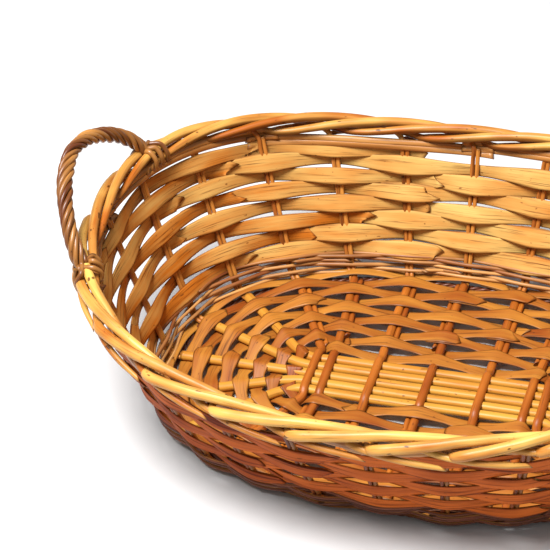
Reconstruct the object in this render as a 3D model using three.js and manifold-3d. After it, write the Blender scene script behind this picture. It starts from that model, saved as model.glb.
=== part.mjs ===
// Oval willow fruit basket with two twisted bow handles.
// Millimetres, +Z up, X along the basket. The origin is on the floor under the middle of the basket.
import * as THREE from "three";
import Module from "manifold-3d";
import { mergeVertices } from "three/addons/utils/BufferGeometryUtils.js";

// ---- driving sizes ----
const GAP = 0.5; // clearance between rods and strips that touch in the real basket
const RIM = { a: 225, b: 165, z: 106, rise: 25 }; // centre line of the border; the ends stand higher by rise
const FOOT = { a: 187, b: 125 }; // oval on which the stakes turn up
const SQUARE = 2.4; // exponent of the ovals: 2 is an ellipse, more is fuller at the corners
const BULGE = 0.2; // how far the wall bellies out between foot and rim
const STAKES = 24; // a multiple of 4, so that each row of the weave closes on itself
const STAKE = { thick: 3.6, wide: 6.2 }; // an upright pair of rods lying side by side
const BASE_Z = 6.5; // height of the base rods' centre lines
const BASE_ROD = 5.6; // diameter of the long rods and the cross sticks
const LONG_PITCH = 9; // spacing of the long rods
const CROSS_X = [0, 39, 72, 83]; // the cross sticks, mirrored to -x; the outer two are a close pair
const PIERCED = { wide: 7.2, high: 11.8 }; // a cross stick where the long rods pass through it
const BASE_ROWS = 8;
const BASE_STRIP = { wide: 9.4, thick: 1.2 };
const WALL_ROWS = 7;
const WALL_STRIP = { wide: 8.8, thick: 1.2, first: 0.165, last: 0.753 };
const FOOT_RING = { wide: 5.5, high: BASE_Z - STAKE.thick / 2 - GAP };
const FOOT_WALE = { rod: 3.4, first: 0.055, step: 0.045, rows: 2 };
const TOP_WALE = { thick: 3, high: 5.5, at: 0.845 };
const BORDER = { rod: 5.6, tip: 4.4, coil: 3.7, turn: 3, length: 2.8 }; // each stake coils once in `turn` spacings
const HANDLE = { thick: 10, hook: 4.8, foot: 68, high: 56, lean: 0.57, arch: 1.7 };

// ---- small helpers ----
const { Vector3 } = THREE;
const UP = new Vector3(0, 0, 1);
const vec = (x, y, z = 0) => new Vector3(x, y, z);
const mix = (a, b, t) => a + (b - a) * t;
const wrap = (k, n = STAKES) => ((k % n) + n) % n;

// A function that walks round an oval: 0 is its +X end, 1 is a full turn, and equal steps are equal lengths.
function ovalWalk(a, b) {
  const n = 1440;
  const power = (c) => Math.sign(c) * Math.abs(c) ** (2 / SQUARE);
  const points = Array.from({ length: n + 1 }, (_, i) => {
    const t = (i / n) * 2 * Math.PI;
    return vec(a * power(Math.cos(t)), b * power(Math.sin(t)));
  });
  const run = [0];
  for (let i = 1; i <= n; i++) run.push(run[i - 1] + points[i].distanceTo(points[i - 1]));
  return (turn) => {
    const want = wrap(turn, 1) * run[n];
    let i = 1;
    while (i < n && run[i] < want) i++;
    return points[i - 1].clone().lerp(points[i], (want - run[i - 1]) / (run[i] - run[i - 1]));
  };
}
const rimAt = ovalWalk(RIM.a, RIM.b);
const footAt = ovalWalk(FOOT.a, FOOT.b);
const BASE_EDGE = 8; // the base rods end this far inside the foot oval
const edgeAt = ovalWalk(FOOT.a - BASE_EDGE, FOOT.b - BASE_EDGE);
const RING_IN = BASE_EDGE / 2 + 0.5; // the foot ring's centre line, inside the foot oval
const ringAt = ovalWalk(FOOT.a - RING_IN, FOOT.b - RING_IN);

// A point of the wall's middle surface: `turn` round the basket, v = 0 at the foot and 1 at the rim.
function wallPoint(turn, v) {
  const foot = footAt(turn);
  const rim = rimAt(turn);
  const w = v + BULGE * v * (1 - v);
  const top = RIM.z + RIM.rise * (rim.x / RIM.a) ** 2;
  return vec(mix(foot.x, rim.x, w), mix(foot.y, rim.y, w), mix(BASE_Z, top, v));
}

// The wall's directions at a point: along the rows, up the wall and out of it.
function wallFrame(turn, v) {
  const p = wallPoint(turn, v);
  const along = wallPoint(turn + 0.004, v).sub(wallPoint(turn - 0.004, v)).normalize();
  const rising = wallPoint(turn, v + 0.02).sub(wallPoint(turn, v - 0.02)).normalize();
  const out = along.clone().cross(rising).normalize();
  return { p, along, out, up: out.clone().cross(along) };
}

// Sections across a rod or a strip: x is its thickness, y its width.
const round = (thick, wide, sides = 6) =>
  Array.from({ length: sides }, (_, i) => {
    const t = ((i + 0.5) / sides) * 2 * Math.PI;
    return [(thick / 2) * Math.cos(t), (wide / 2) * Math.sin(t)];
  });
const flat = (thick, wide) =>
  [[1, -1], [1, 1], [-1, 1], [-1, -1]].map(([x, y]) => [(x * thick) / 2, (y * wide) / 2]);

// A closed surface through the sections placed at each station {p, u, v, section}.
function sweep(stations, closed = false) {
  const sides = stations[0].section.length;
  const n = stations.length;
  const points = stations.flatMap((s) =>
    s.section.map(([x, y]) => s.p.clone().addScaledVector(s.u, x).addScaledVector(s.v, y)),
  );
  const faces = [];
  for (let i = 0; i < (closed ? n : n - 1); i++)
    for (let j = 0; j < sides; j++) {
      const [a, b] = [i * sides + j, i * sides + ((j + 1) % sides)];
      const [d, c] = [wrap(i + 1, n) * sides + j, wrap(i + 1, n) * sides + ((j + 1) % sides)];
      faces.push([a, b, c], [a, c, d]);
    }
  if (!closed)
    for (let j = 1; j < sides - 1; j++) {
      const last = (n - 1) * sides;
      faces.push([0, j + 1, j], [last, last + j, last + j + 1]);
    }
  const volume = faces.reduce(
    (sum, [a, b, c]) => sum + points[a].dot(points[b].clone().cross(points[c])),
    0,
  );
  const out = volume < 0 ? faces.map(([a, b, c]) => [a, c, b]) : faces;
  const geometry = new THREE.BufferGeometry().setFromPoints(out.flat().map((i) => points[i]));
  geometry.computeVertexNormals();
  return geometry;
}

// A rod along a path of {p, ref, section}: ref is the side its thickness faces, and a station without one
// faces the side of the station before it.
function rod(path) {
  let facing = path[0].ref;
  return sweep(
    path.map(({ p, ref, section, along }, i) => {
      const before = i ? p.clone().sub(path[i - 1].p).normalize() : vec(0, 0, 0);
      const after = i < path.length - 1 ? path[i + 1].p.clone().sub(p).normalize() : vec(0, 0, 0);
      const t = (along ?? before.add(after)).clone().normalize();
      const side = ref ?? facing;
      const u = side.clone().addScaledVector(t, -side.dot(t)).normalize();
      facing = u;
      return { p, u, v: t.clone().cross(u), section };
    }),
  );
}

// ---- the parts, each a named mesh ----
const basket = new THREE.Group();
basket.name = "fruit_basket";
function add(name, geometry, color, roughness = 0.55) {
  const material = new THREE.MeshStandardMaterial({ color, roughness, metalness: 0 });
  material.name = name;
  const mesh = new THREE.Mesh(geometry, material);
  mesh.name = name;
  basket.add(mesh);
}

// Twenty-four base ribs, one to each stake. The ribs at the sides are the cross sticks' ends and those at
// the two ends are the long rods' ends, fanned out. A rib is straight from `from` to `to`.
const LONG_RODS = 5;
const half = (LONG_RODS - 1) / 2; // long rods on each side of the middle one
const quarter = STAKES / 4;
const bandSide = half * LONG_PITCH + BASE_ROD / 2 + GAP; // the slot's end
const ribStart = bandSide + 0.95 * BASE_ROD; // where a cross stick leaves the band of long rods
const fanStart = CROSS_X.at(-1) + 1.5 * PIERCED.wide; // where the long rods start to fan out
const rib = (k) => {
  const to = edgeAt(k / STAKES);
  const fold = Math.min(wrap(k), wrap(-k)); // the same rib counted from the +X end, 0 to 12
  const near = Math.min(fold, STAKES / 2 - fold); // and from the closer end, 0 to 6
  const sx = Math.sign(to.x) || 1;
  const sy = wrap(k) <= STAKES / 2 ? 1 : -1;
  const from =
    near <= half
      ? vec(sx * fanStart, sy * near * LONG_PITCH, BASE_Z)
      : vec(sx * CROSS_X[quarter - near], sy * ribStart, BASE_Z);
  to.z = BASE_Z;
  return { from, to, along: to.clone().sub(from).normalize() };
};
const ribs = Array.from({ length: STAKES }, (_, k) => rib(k));

// Long rods: straight through the cross sticks, then fanned out to the ends of the base.
const rodSection = round(BASE_ROD, BASE_ROD);
for (let m = -half; m <= half; m++) {
  const left = ribs[wrap(STAKES / 2 - m)];
  const right = ribs[wrap(m)];
  const path = [left.to, left.from, right.from, right.to];
  add(
    "long_rod_" + (m + half + 1),
    rod(path.map((p) => ({ p, ref: UP, section: rodSection }))),
    0xe9c765,
    0.45,
  );
}

// Cross sticks: swollen and slit in the middle, where the long rods pass through.
const wasm = await Module();
wasm.setup();
function solidOf(geometry) {
  const { position } = (geometry.index ? geometry.toNonIndexed() : geometry).attributes;
  const merged = mergeVertices(new THREE.BufferGeometry().setAttribute("position", position), 1e-4);
  return new wasm.Manifold(
    new wasm.Mesh({
      numProp: 3,
      vertProperties: merged.attributes.position.array,
      triVerts: new Uint32Array(merged.index.array),
    }),
  );
}
function geometryOf(solid) {
  const { vertProperties, triVerts, numProp } = solid.getMesh();
  const positions = new Float32Array(triVerts.length * 3);
  triVerts.forEach((v, i) => {
    positions.set(vertProperties.subarray(v * numProp, v * numProp + 3), i * 3);
  });
  const geometry = new THREE.BufferGeometry();
  geometry.setAttribute("position", new THREE.BufferAttribute(positions, 3));
  geometry.computeVertexNormals();
  return geometry;
}
const slim = round(BASE_ROD, BASE_ROD, 8);
const swollen = round(PIERCED.high, PIERCED.wide, 8);
const crossAt = [...CROSS_X.slice(1).map((x) => -x).reverse(), ...CROSS_X];
crossAt.forEach((x, i) => {
  const k = quarter + Math.round(crossAt.length / 2) - 1 - i; // the rib at the stick's +Y end
  const [top, bottom] = [ribs[k], ribs[wrap(-k)]];
  const stick = rod(
    [
      [bottom.to, slim],
      [bottom.from, slim],
      [vec(x, -bandSide - 1, BASE_Z), swollen],
      [vec(x, bandSide + 1, BASE_Z), swollen],
      [top.from, slim],
      [top.to, slim],
    ].map(([p, section]) => ({ p, ref: UP, section })),
  );
  const slot = new THREE.BoxGeometry(2 * PIERCED.wide, 2 * bandSide, BASE_ROD + 2 * GAP);
  slot.translate(x, 0, BASE_Z);
  add("cross_stick_" + (i + 1), geometryOf(solidOf(stick).subtract(solidOf(slot))), 0xc47a2a);
});

// Base weavers: flat strips that go over one rib and under the next, each row the opposite of the last.
const baseReach = BASE_ROD / 2 + BASE_STRIP.thick / 2 + GAP;
for (let row = 0; row < BASE_ROWS; row++) {
  const q = (row + 0.5) / BASE_ROWS;
  const at = ribs.map(({ from, to }) => from.clone().lerp(to, q));
  const stations = at.map((p, k) => {
    const step = Math.min(p.distanceTo(at[wrap(k + 1)]), p.distanceTo(at[wrap(k - 1)]));
    const rise = baseReach / Math.sqrt(1 - ((2 * baseReach) / step) ** 2); // steeper between close ribs
    const side = wrap(k + row, 2) ? -1 : 1;
    return {
      p: p.clone().addScaledVector(UP, side * rise),
      u: UP,
      v: ribs[k].along,
      section: flat(BASE_STRIP.thick, BASE_STRIP.wide),
    };
  });
  add("base_weaver_" + (row + 1), sweep(stations, true), 0xc98a35, 0.6);
}

// Foot ring: the bottom row, flat underneath, which the stakes bend over and the basket stands on.
const ringStations = Array.from({ length: 2 * STAKES }, (_, i) => {
  const p = ringAt(i / (2 * STAKES));
  const t = ringAt((i + 0.2) / (2 * STAKES)).sub(ringAt((i - 0.2) / (2 * STAKES))).normalize();
  p.z = FOOT_RING.high / 2;
  return { p, u: UP, v: t.cross(UP), section: flat(FOOT_RING.high, FOOT_RING.wide) };
});
add("foot_ring", sweep(ringStations, true), 0x9d5a2c, 0.6);

// Rows of the wall, each alternately outside and inside the stakes.
function wallRow(v, section, thick, phase) {
  const reach = STAKE.thick / 2 + thick / 2 + GAP;
  return sweep(
    Array.from({ length: STAKES }, (_, k) => {
      const { p, out, up } = wallFrame(k / STAKES, v);
      const side = wrap(k + phase, 2) ? -1 : 1;
      return { p: p.addScaledVector(out, side * reach), u: out, v: up, section };
    }),
    true,
  );
}
for (let i = 0; i < FOOT_WALE.rows; i++)
  add(
    "foot_wale_" + (i + 1),
    wallRow(FOOT_WALE.first + i * FOOT_WALE.step, round(FOOT_WALE.rod, FOOT_WALE.rod), FOOT_WALE.rod, i),
    0x9d5a2c,
  );
for (let row = 0; row < WALL_ROWS; row++) {
  const v = mix(WALL_STRIP.first, WALL_STRIP.last, row / (WALL_ROWS - 1));
  const strip = flat(WALL_STRIP.thick, WALL_STRIP.wide);
  add("side_weaver_" + (row + 1), wallRow(v, strip, WALL_STRIP.thick, row), 0xc78d3c, 0.6);
}
const splitRod = [[1, -0.6], [1, 0.6], [0, 1], [-1, 1], [-1, -1], [0, -1]].map(([x, y]) => [
  (x * TOP_WALE.thick) / 2,
  (y * TOP_WALE.high) / 2,
]);
add("top_wale", wallRow(TOP_WALE.at, splitRod, TOP_WALE.thick, 1), 0xcf9640);

// Stakes: each starts at the end of its rib, turns up through the wall and at the top is laid over into
// the border, where three stakes coil round one another like a rope.
const pair = round(STAKE.thick, STAKE.wide);
const level = (v) => vec(v.x, v.y).normalize();
function borderPoint(k, s) {
  const turn = (k + s) / STAKES;
  const { p, along } = wallFrame(turn, 1);
  const out = level(along.cross(UP));
  const angle = (2 * Math.PI * s) / BORDER.turn - Math.PI / 2;
  p.addScaledVector(out, BORDER.coil * Math.cos(angle)).addScaledVector(UP, BORDER.coil * Math.sin(angle));
  return { p, out };
}
for (let k = 0; k < STAKES; k++) {
  const { to, along } = ribs[k];
  const { out } = wallFrame(k / STAKES, 0);
  const flatOut = level(out);
  const path = [
    { p: to.clone().addScaledVector(along, GAP + 0.2), ref: UP.clone().negate(), along, section: pair },
    { p: wallPoint(k / STAKES, 0), ref: flatOut.clone().sub(UP), section: pair },
  ];
  for (const v of [0.09, 0.25, 0.42, 0.59, 0.755, 0.85, 0.89])
    path.push({ p: wallPoint(k / STAKES, v), ref: out, section: pair });
  const laidOver = round(mix(STAKE.thick, BORDER.rod, 0.5), mix(STAKE.wide, BORDER.rod, 0.5));
  const lead = borderPoint(k, 0.04);
  lead.p.addScaledVector(UP, -2).addScaledVector(lead.out, -0.8);
  path.push({ p: lead.p, ref: lead.out, section: laidOver });
  const steps = 11;
  for (let i = 0; i <= steps; i++) {
    const s = mix(0.14, BORDER.length, i / steps);
    const d = mix(BORDER.rod, BORDER.tip, i / steps);
    const { p, out: ref } = borderPoint(k, s);
    path.push({ p, ref, section: round(d, d) });
  }
  add("stake_" + String(k + 1).padStart(2, "0"), rod(path), 0xdba545, 0.45);
}

// Handles: a bow at each end that leans outwards, with its thin ends hooked under the border.
const sideOfFoot = (() => {
  let turn = 0;
  while (rimAt(turn).y < HANDLE.foot) turn += 0.0005;
  return turn;
})();
const hookReach = BORDER.coil + BORDER.rod / 2 + GAP + HANDLE.hook / 2;
function hookPoint(turn, angle) {
  const { p, along } = wallFrame(turn, 1);
  const out = level(along.cross(UP));
  return p
    .addScaledVector(out, hookReach * Math.cos(angle))
    .addScaledVector(UP, hookReach * Math.sin(angle));
}
const footMid = wallPoint(sideOfFoot, 1);
function bowPoint(angle) {
  const power = (c) => Math.sign(c) * Math.abs(c) ** (2 / HANDLE.arch);
  const rise = HANDLE.high * power(Math.sin(angle));
  return vec(
    footMid.x + rise * Math.sin(HANDLE.lean),
    HANDLE.foot * power(Math.cos(angle)),
    footMid.z + rise * Math.cos(HANDLE.lean),
  );
}
const deg = Math.PI / 180;
const hookAngles = [-235, -205, -175, -145, -115, -85, -55, -25, 5];
const bowAngles = [24, 38, 54, 72, 90, 108, 126, 142, 156];
const hookPath = (turn) =>
  hookAngles.map((a) => ({ p: hookPoint(turn, a * deg), d: HANDLE.hook }));
const bow = [
  ...hookPath(sideOfFoot),
  ...bowAngles.map((a) => ({
    p: bowPoint(a * deg),
    d: mix(HANDLE.hook, HANDLE.thick, Math.min(1, Math.min(a - 10, 170 - a) / 28)),
  })),
  ...hookPath(-sideOfFoot).reverse(),
];
const bowGeometry = rod(
  bow.map(({ p, d }, i) => ({ p, ref: i ? undefined : vec(0, 1), section: round(d, d, 8) })),
);
const turned = bowGeometry.clone().rotateZ(Math.PI);
add("handle_right", bowGeometry, 0x9a5a26, 0.5);
add("handle_left", turned, 0x9a5a26, 0.5);

export default basket;
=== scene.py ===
# %% [markdown]
# # An oval willow fruit basket
# A basket is made of rods that stand and of rods and strips that go round them. Five long rods run through
# seven slit sticks and make the middle of the base, twenty-four pairs of stakes turn up from its edge, flat
# split strips go round them, and the stakes end by coiling round each other as the border. The CAD model
# holds every one of those pieces as a plain solid. Here each is made again with the look of real willow, in
# the same place, so this first cell loads that model.

# %% Load the fixed frame
import math

import bpy
import numpy as np
from mathutils import Matrix, Vector


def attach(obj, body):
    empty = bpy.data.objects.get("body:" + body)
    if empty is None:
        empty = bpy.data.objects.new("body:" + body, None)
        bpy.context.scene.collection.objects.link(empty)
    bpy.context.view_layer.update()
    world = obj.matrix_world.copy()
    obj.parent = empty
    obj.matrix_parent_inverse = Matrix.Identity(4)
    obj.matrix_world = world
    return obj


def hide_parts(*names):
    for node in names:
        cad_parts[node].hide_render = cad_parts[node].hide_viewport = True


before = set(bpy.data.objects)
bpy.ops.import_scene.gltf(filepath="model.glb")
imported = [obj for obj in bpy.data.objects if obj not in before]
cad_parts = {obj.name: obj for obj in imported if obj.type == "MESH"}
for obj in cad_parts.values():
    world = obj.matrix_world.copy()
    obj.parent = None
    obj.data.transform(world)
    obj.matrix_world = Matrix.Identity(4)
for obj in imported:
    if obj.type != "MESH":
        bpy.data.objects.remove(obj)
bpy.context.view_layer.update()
print("CAD nodes:", len(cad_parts))

# %% [markdown]
# ## The camera
# A product picture is taken from some way off with a long lens, so that the far rim is hardly smaller than
# the near one. The camera looks down at about 38 degrees on the left half of the basket, turned a little
# round it and tipped very slightly. It would be possible to place it with a Track To constraint, but the
# small tip is easier when the three directions of the camera are worked out as vectors.

# %% Camera
MM = 0.001
VIEW_TURN, VIEW_DOWN, VIEW_TIP = -0.3242, 0.6699, -0.0745  # radians
VIEW_TARGET = Vector((-0.1278, 0.0690, 0.0338))
VIEW_DISTANCE = 2.046
LENS, SENSOR = 186.2, 36  # millimetres


def place_camera():
    """The camera stands back from its target along the line of sight. Its right-hand and upward directions
    are level first, and are then tipped about that line."""
    ahead = Vector((
        math.sin(VIEW_TURN) * math.cos(VIEW_DOWN),
        math.cos(VIEW_TURN) * math.cos(VIEW_DOWN),
        -math.sin(VIEW_DOWN),
    ))
    right = Vector((math.cos(VIEW_TURN), -math.sin(VIEW_TURN), 0))
    up = right.cross(ahead)
    c, s = math.cos(VIEW_TIP), math.sin(VIEW_TIP)
    right, up = right * c + up * s, up * c - right * s
    data = bpy.data.cameras.new("basket_camera")
    data.lens, data.sensor_width = LENS, SENSOR
    data.clip_start, data.clip_end = 0.05, 50  # metres
    camera = bpy.data.objects.new("basket_camera", data)
    bpy.context.scene.collection.objects.link(camera)
    turned = Matrix((right, up, -ahead)).transposed().to_4x4()
    camera.matrix_world = Matrix.Translation(VIEW_TARGET - ahead * VIEW_DISTANCE) @ turned
    return camera


bpy.context.scene.camera = place_camera()
print("camera at", tuple(round(c, 3) for c in bpy.context.scene.camera.matrix_world.translation))

# %% [markdown]
# ## Sizes of the basket
# These are the same driving sizes as in the CAD model, in metres. The wall is a surface between two ovals:
# the foot, where the stakes turn up, and the rim, which stands higher at the two ends. Both ovals are a
# little squarer than an ellipse. Going round them by equal steps of length, not of angle, is what spaces
# the stakes evenly. A place up the wall is a share of its height, 0 at the foot and 1 at the rim.

# %% Driving sizes
RIM_A, RIM_B, RIM_Z, RIM_RISE = 225 * MM, 165 * MM, 106 * MM, 25 * MM
FOOT_A, FOOT_B = 187 * MM, 125 * MM
EDGE_IN, RING_IN = 8 * MM, 4.5 * MM  # how far the ribs' ends and the foot rope lie inside the foot oval
SQUARE, BULGE, STAKES, BASE_Z = 2.4, 0.2, 24, 6.5 * MM
LONG_PITCH, BASE_ROD, SLIT_WIDE, GAP = 9 * MM, 5.6 * MM, 7.2 * MM, 0.5 * MM
CROSS_X = np.array([0, 39, 72, 83]) * MM
BAND_SIDE = 2 * LONG_PITCH + BASE_ROD / 2 + GAP
RIB_START = BAND_SIDE + 0.95 * BASE_ROD
FAN_START = CROSS_X[-1] + 1.5 * SLIT_WIDE
BASE_ROWS, WALL_ROWS = 8, 7
WALL_FIRST, WALL_LAST, TOP_AT = 0.165, 0.753, 0.845  # shares of the wall's height
Z = np.array([0.0, 0.0, 1.0])
FLAT = np.array([1, 1, 0])
rng = np.random.default_rng(24)


def unit(v):
    """Each vector over its own length."""
    return v / np.maximum(np.linalg.norm(v, axis=-1, keepdims=True), 1e-12)


def walked(points):
    """The distance walked along the points, up to each of them."""
    return np.concatenate([[0], np.cumsum(np.linalg.norm(np.diff(points, axis=0), axis=1))])


def oval_walk(a, b):
    """The oval x = a·cos^(2/2.4), y = b·sin^(2/2.4), walked by equal lengths: turn 0 is its +X end and
    turn 1 is once round."""
    t = np.linspace(0, 2 * np.pi, 2881)
    x, y = (r * np.sign(c) * np.abs(c) ** (2 / SQUARE) for r, c in ((a, np.cos(t)), (b, np.sin(t))))
    run = np.concatenate([[0], np.cumsum(np.hypot(np.diff(x), np.diff(y)))])
    run /= run[-1]
    return lambda turn: np.stack([np.interp(np.mod(turn, 1), run, c) for c in (x, y)], -1)


rim_at, foot_at = oval_walk(RIM_A, RIM_B), oval_walk(FOOT_A, FOOT_B)
edge_at = oval_walk(FOOT_A - EDGE_IN, FOOT_B - EDGE_IN)
ring_at = oval_walk(FOOT_A - RING_IN, FOOT_B - RING_IN)


def wall(turn, v):
    """The wall's middle surface: a straight line from the foot oval to the rim oval that bellies out by
    v·(1 - v), with the rim raised by the square of its distance from the middle."""
    foot, rim = foot_at(turn), rim_at(turn)
    w = (v + BULGE * v * (1 - v))[..., None]
    top = RIM_Z + RIM_RISE * (rim[..., 0] / RIM_A) ** 2
    return np.concatenate([foot + (rim - foot) * w, (BASE_Z + (top - BASE_Z) * v)[..., None]], -1)


def wall_frame(turn, v):
    """A point of the wall with its directions along the rows, out of the wall and up it, by differences."""
    turn, v = np.broadcast_arrays(np.asarray(turn, float), np.asarray(v, float))
    along = unit(wall(turn + 0.004, v) - wall(turn - 0.004, v))
    rising = unit(wall(turn, v + 0.02) - wall(turn, v - 0.02))
    out = unit(np.cross(along, rising))
    return wall(turn, v), along, out, np.cross(out, along)


print("once round the rim, in mm:", round(walked(rim_at(np.linspace(0, 1, 999)))[-1] / MM))

# %% [markdown]
# ## How a rod becomes a mesh
# Every rod and strip is the same kind of surface: a closed section carried along a path, with the two ends
# covered. A Blender curve with a bevel would give that too, but then the cut of an end, the taper and the
# lens shape of a strip are hard to reach. So each is worked out on a grid of two parameters, the distance
# along the rod and the angle round it, and all the rods of a piece go into one mesh together. Three
# attributes are kept at each point for the finishes. "grain" is where the point would be if its rod were
# straightened, which is what wood fibre follows. "look" is the rod's own shade, the distance to its cut end
# and the side of the split. "edge" says where shade is painted on the rod: along a strip's two edges, and on
# the underside of a border rod and the outer face of a stake where it stands in the wall.

# %% Strands into meshes
def smooth(points, count):
    """A curve through the points: cubic between each two, with the slope at a point taken from its
    neighbours, and parameter equal to the distance from point to point."""
    points = np.asarray(points, float)
    t = walked(points)
    slope = np.gradient(points, t, axis=0)
    s = np.linspace(0, t[-1], count)
    i = np.clip(np.searchsorted(t, s, side="right") - 1, 0, len(t) - 2)
    h = (t[i + 1] - t[i])[:, None]
    f = ((s - t[i])[:, None]) / h
    return (
        points[i] * (2 * f**3 - 3 * f**2 + 1) + slope[i] * h * (f**3 - 2 * f**2 + f)
        + points[i + 1] * (3 * f**2 - 2 * f**3) + slope[i + 1] * h * (f**3 - f**2)
    )


def section(sides, flatness=1.0):
    """Points of a section: cos and sin of an angle, with the cosine raised to a power under 1 for a strip,
    so that its two faces are flat and its edges are round."""
    angle = (np.arange(sides) + 0.5) / sides * 2 * np.pi
    c, s = np.cos(angle), np.sin(angle)
    return np.sign(c) * np.abs(c) ** flatness, s


def strand(grid, thick, across, skin=0.0, tone=None, edge=0.0):
    """One closed rod: its grid of points (stations, sides) and the three vectors at each point. The first
    is the straightened place, moved by the rod's own shade so that no two rods share their fibres. The
    second is the shade, the distance to the nearer end in metres and the skin side, from -1 to 1. The third
    repeats edge, the amount of painted shade, which is 1 at a strip's two edges and on the shaded sides of a
    border rod."""
    run = walked(grid.mean(1))
    tone = rng.uniform(0, 1) if tone is None else tone
    own = float(np.mean(tone))
    thick, across, tone, skin, edge, length = (
        np.broadcast_to(a, grid.shape[:2]) for a in (thick, across, tone, skin, edge, run[:, None])
    )
    grain = np.stack([length + own * 3.1, thick + own * 0.7, across + own * 1.3], -1)
    look = np.stack([tone, np.minimum(length, run[-1] - length), skin], -1)
    return grid, grain, look, np.stack([edge] * 3, -1)


CUT_FADE = 8 * MM


def rod(path, side, thick, wide=None, sides=10, cuts=(0.0, 0.0), tone=None):
    """A rod of elliptical section along a path. side is the direction its thickness faces, squared up to
    the path at each point; cuts slide one edge of each end forward by that length, fading over CUT_FADE."""
    path = np.asarray(path, float)
    wide = thick if wide is None else wide
    thick, wide = (np.broadcast_to(d, len(path))[:, None] for d in (thick, wide))
    tangent = unit(np.gradient(path, axis=0))
    side = np.broadcast_to(side, path.shape)
    u = unit(side - (side * tangent).sum(-1, keepdims=True) * tangent)
    v = np.cross(tangent, u)
    c, s = section(sides)
    x, y = thick / 2 * c, wide / 2 * s
    run = walked(path)[:, None]
    slide = s * (cuts[0] * np.exp(-run / CUT_FADE) + cuts[1] * np.exp((run - run[-1]) / CUT_FADE))
    grid = path[:, None] + u[:, None] * x[..., None] + v[:, None] * y[..., None]
    return strand(grid + tangent[:, None] * slide[..., None], x, y, skin=c, tone=tone)


def piece(name, strands, material, slot, *nodes):
    """Puts strands into one mesh: quads between stations, a fan of triangles over each end, faces turned
    outwards by the sign of the volume, and the vectors for the materials as attributes."""
    layers, quads, fans, count = ([], [], [], []), [], [], 0
    for layer in strands:
        grid = layer[0]
        n, m = grid.shape[:2]
        i, j = np.meshgrid(np.arange(n - 1), np.arange(m), indexing="ij")
        k = (j + 1) % m
        faces = np.stack([i * m + j, i * m + k, (i + 1) * m + k, (i + 1) * m + j], -1).reshape(-1, 4)
        here, after, last = np.arange(m), (np.arange(m) + 1) % m, (n - 1) * m
        ends = np.concatenate([
            np.stack([np.full(m, n * m), after, here], -1),
            np.stack([np.full(m, n * m + 1), last + here, last + after], -1),
        ])
        whole = [np.concatenate([a.reshape(-1, 3), a[:1].mean(1), a[-1:].mean(1)]) for a in layer]
        corner = whole[0][faces] - whole[0].mean(0)
        swept = np.cross(corner[:, 2] - corner[:, 0], corner[:, 3] - corner[:, 1])
        if (swept * corner.mean(1)).sum() < 0:
            faces, ends = faces[:, ::-1], ends[:, ::-1]
        for kept, made in zip(layers, whole):
            kept.append(made)
        quads.append(faces + count)
        fans.append(ends + count)
        count += n * m + 2
    quads, fans = np.concatenate(quads), np.concatenate(fans)
    mesh = bpy.data.meshes.new(name)
    mesh.vertices.add(count)
    mesh.vertices.foreach_set("co", np.concatenate(layers[0]).astype(np.float32).ravel())
    corners = np.concatenate([quads.ravel(), fans.ravel()])
    mesh.loops.add(len(corners))
    mesh.loops.foreach_set("vertex_index", corners.astype(np.int32))
    starts = np.concatenate([np.arange(len(quads)) * 4, len(quads) * 4 + np.arange(len(fans)) * 3])
    mesh.polygons.add(len(starts))
    mesh.polygons.foreach_set("loop_start", starts.astype(np.int32))
    mesh.update(calc_edges=True)
    mesh.polygons.foreach_set("use_smooth", np.arange(len(starts)) < len(quads))
    for title, values in zip(("grain", "look", "edge"), layers[1:]):
        layer = mesh.attributes.new(title, "FLOAT_VECTOR", "POINT")
        layer.data.foreach_set("vector", np.concatenate(values).astype(np.float32).ravel())
    mesh.validate()
    mesh.materials.append(material)
    made = bpy.data.objects.new(name, mesh)
    bpy.context.scene.collection.objects.link(made)
    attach(made, "root")
    if nodes:
        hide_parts(*nodes)
    print(name, len(strands), "strands,", len(quads) * 2 + len(fans), "triangles")
    return made


# %% [markdown]
# ## Writing a finish as arithmetic
# A willow finish is a sum of small things: a shade for each rod, fibres, slow bands, flecks and a darker
# end. Drawing that as a node tree by hand takes long and is hard to change, so a socket is wrapped in a
# small class in which a plus sign adds a Math node. Colours are mixed with Mix nodes, because a Math node
# would turn them grey.

# %% Shader arithmetic
class Amount:
    """A number that changes over a surface. Arithmetic on it adds Math nodes to its finish."""

    def __init__(self, finish, socket):
        self.finish, self.socket = finish, socket

    def math(self, operation, *others, clamp=False):
        values = {i: v for i, v in enumerate(others)}
        node = self.finish.node("ShaderNodeMath", dict(operation=operation, use_clamp=clamp), values)
        return Amount(self.finish, node.outputs[0])

    def __add__(self, other):
        return self.math("ADD", self, other)

    def __sub__(self, other):
        return self.math("SUBTRACT", self, other)

    def __rsub__(self, other):
        return self.math("SUBTRACT", other, self)

    def __mul__(self, other):
        return self.math("MULTIPLY", self, other)

    __radd__, __rmul__ = __add__, __mul__

    def clamped(self):
        return self.math("ADD", self, 0.0, clamp=True)

    def step(self, low, high):
        """0 below low, 1 above high, smooth between; low may be the larger, which turns it round."""
        settings = dict(interpolation_type="SMOOTHSTEP")
        inputs = {"Value": self, "From Min": low, "From Max": high}
        node = self.finish.node("ShaderNodeMapRange", settings, inputs)
        return Amount(self.finish, node.outputs["Result"])


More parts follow.
